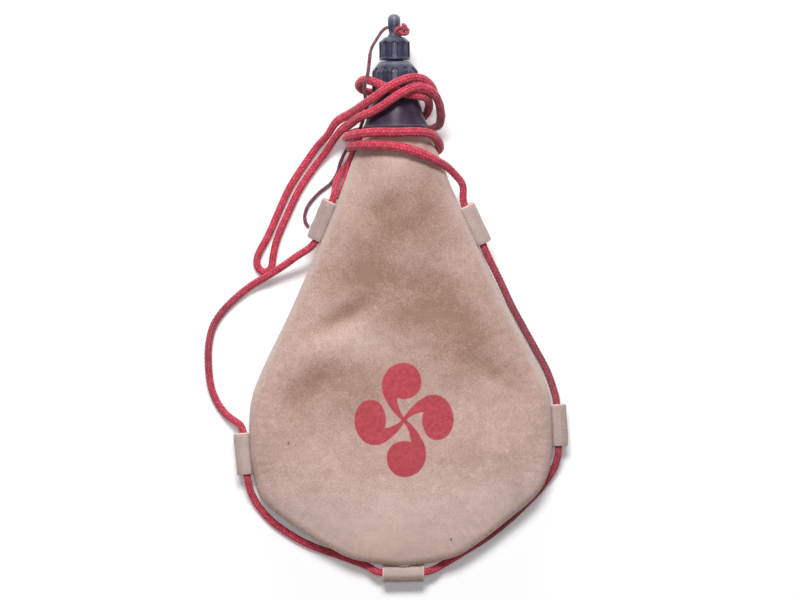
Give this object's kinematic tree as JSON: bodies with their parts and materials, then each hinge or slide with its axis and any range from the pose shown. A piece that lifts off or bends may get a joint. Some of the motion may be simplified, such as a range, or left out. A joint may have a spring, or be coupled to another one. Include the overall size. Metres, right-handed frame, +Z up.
{
  "type": "leather wine bag",
  "caption": "Pear-shaped suede wine bag on its back, with seam loops, a braided carrying cord lashed round the neck, and a screwed filler cap with a tethered drinking stopper.",
  "frame": {"origin": "centre of the bag's bounding box at the ground it lies on, cords left out", "axes": "+Y from the base to the nozzle along the nozzle's axis, +X to the bag's right as it is looked down on, +Z up from the ground"},
  "size_m": [0.2001, 0.3126, 0.0468],
  "materials": {
    "front_panel_suede": "soft matte suede",
    "back_panel_suede": "soft matte suede",
    "seam_welt_suede_edge": "cut suede edge",
    "loop_neck_left_suede": "soft matte suede",
    "loop_neck_right_suede": "soft matte suede",
    "loop_side_left_suede": "soft matte suede",
    "loop_side_right_suede": "soft matte suede",
    "loop_base_suede": "soft matte suede",
    "bladder_latex": "satin latex",
    "neck_insert_navy_plastic": "glossy",
    "collar_navy_plastic": "glossy",
    "filler_cap_navy_plastic": "glossy",
    "filler_gasket_rubber": "soft matte",
    "jet_nozzle_navy_plastic": "glossy",
    "stopper_cap_navy_plastic": "glossy",
    "stopper_seal_rubber": "soft matte",
    "strap_lashing_upper_red_cord": "round braid",
    "strap_bight_red_cord": "round braid",
    "strap_lashing_lower_red_cord": "round braid",
    "strap_run_red_cord": "round braid",
    "strap_tail_red_cord": "round braid",
    "strap_knot_red_cord": "round braid",
    "tether_cord_brown_cord": "thin round braid",
    "tether_knot_red_cord": "knotted braid"
  },
  "bodies": {
    "bag": {"front_panel": "front_panel_suede", "back_panel": "back_panel_suede", "seam_welt": "seam_welt_suede_edge", "loop_neck_left": "loop_neck_left_suede", "loop_neck_right": "loop_neck_right_suede", "loop_side_left": "loop_side_left_suede", "loop_side_right": "loop_side_right_suede", "loop_base": "loop_base_suede", "bladder": "bladder_latex", "neck_insert": "neck_insert_navy_plastic", "collar": "collar_navy_plastic", "strap_lashing_upper": "strap_lashing_upper_red_cord", "strap_bight": "strap_bight_red_cord", "strap_lashing_lower": "strap_lashing_lower_red_cord", "strap_run": "strap_run_red_cord", "strap_tail": "strap_tail_red_cord", "strap_knot": "strap_knot_red_cord", "tether_cord": "tether_cord_brown_cord"},
    "filler_seal": {"filler_gasket": "filler_gasket_rubber"},
    "filler": {"filler_cap": "filler_cap_navy_plastic", "jet_nozzle": "jet_nozzle_navy_plastic"},
    "stopper_pad": {"stopper_seal": "stopper_seal_rubber"},
    "stopper": {"stopper_cap": "stopper_cap_navy_plastic", "tether_knot": "tether_knot_red_cord"}
  },
  "joints": [
    {"name": "filler_cap_rise", "type": "slide", "parent": "bag", "child": "filler_seal", "axis": [0, 1, 0], "range_m": [0, 0.006], "deforming": ["tether_cord"]},
    {"name": "filler_cap_turn", "type": "hinge", "parent": "filler_seal", "child": "filler", "pos_m": [0, 0.1119, 0.024], "axis": [0, 1, 0], "range_deg": [0, 720], "deforming": ["tether_cord"]},
    {"name": "stopper_rise", "type": "slide", "parent": "filler", "child": "stopper_pad", "axis": [0, 1, 0], "range_m": [0, 0.005], "deforming": ["tether_cord"]},
    {"name": "stopper_turn", "type": "hinge", "parent": "stopper_pad", "child": "stopper", "pos_m": [0, 0.1311, 0.024], "axis": [0, 1, 0], "range_deg": [0, 720], "deforming": ["tether_cord"]}
  ],
  "couplings": [
    {"joint": "filler_cap_turn", "follows": "filler_cap_rise", "rad_per_m": 2094.4},
    {"joint": "stopper_turn", "follows": "stopper_rise", "rad_per_m": 2513.3}
  ]
}
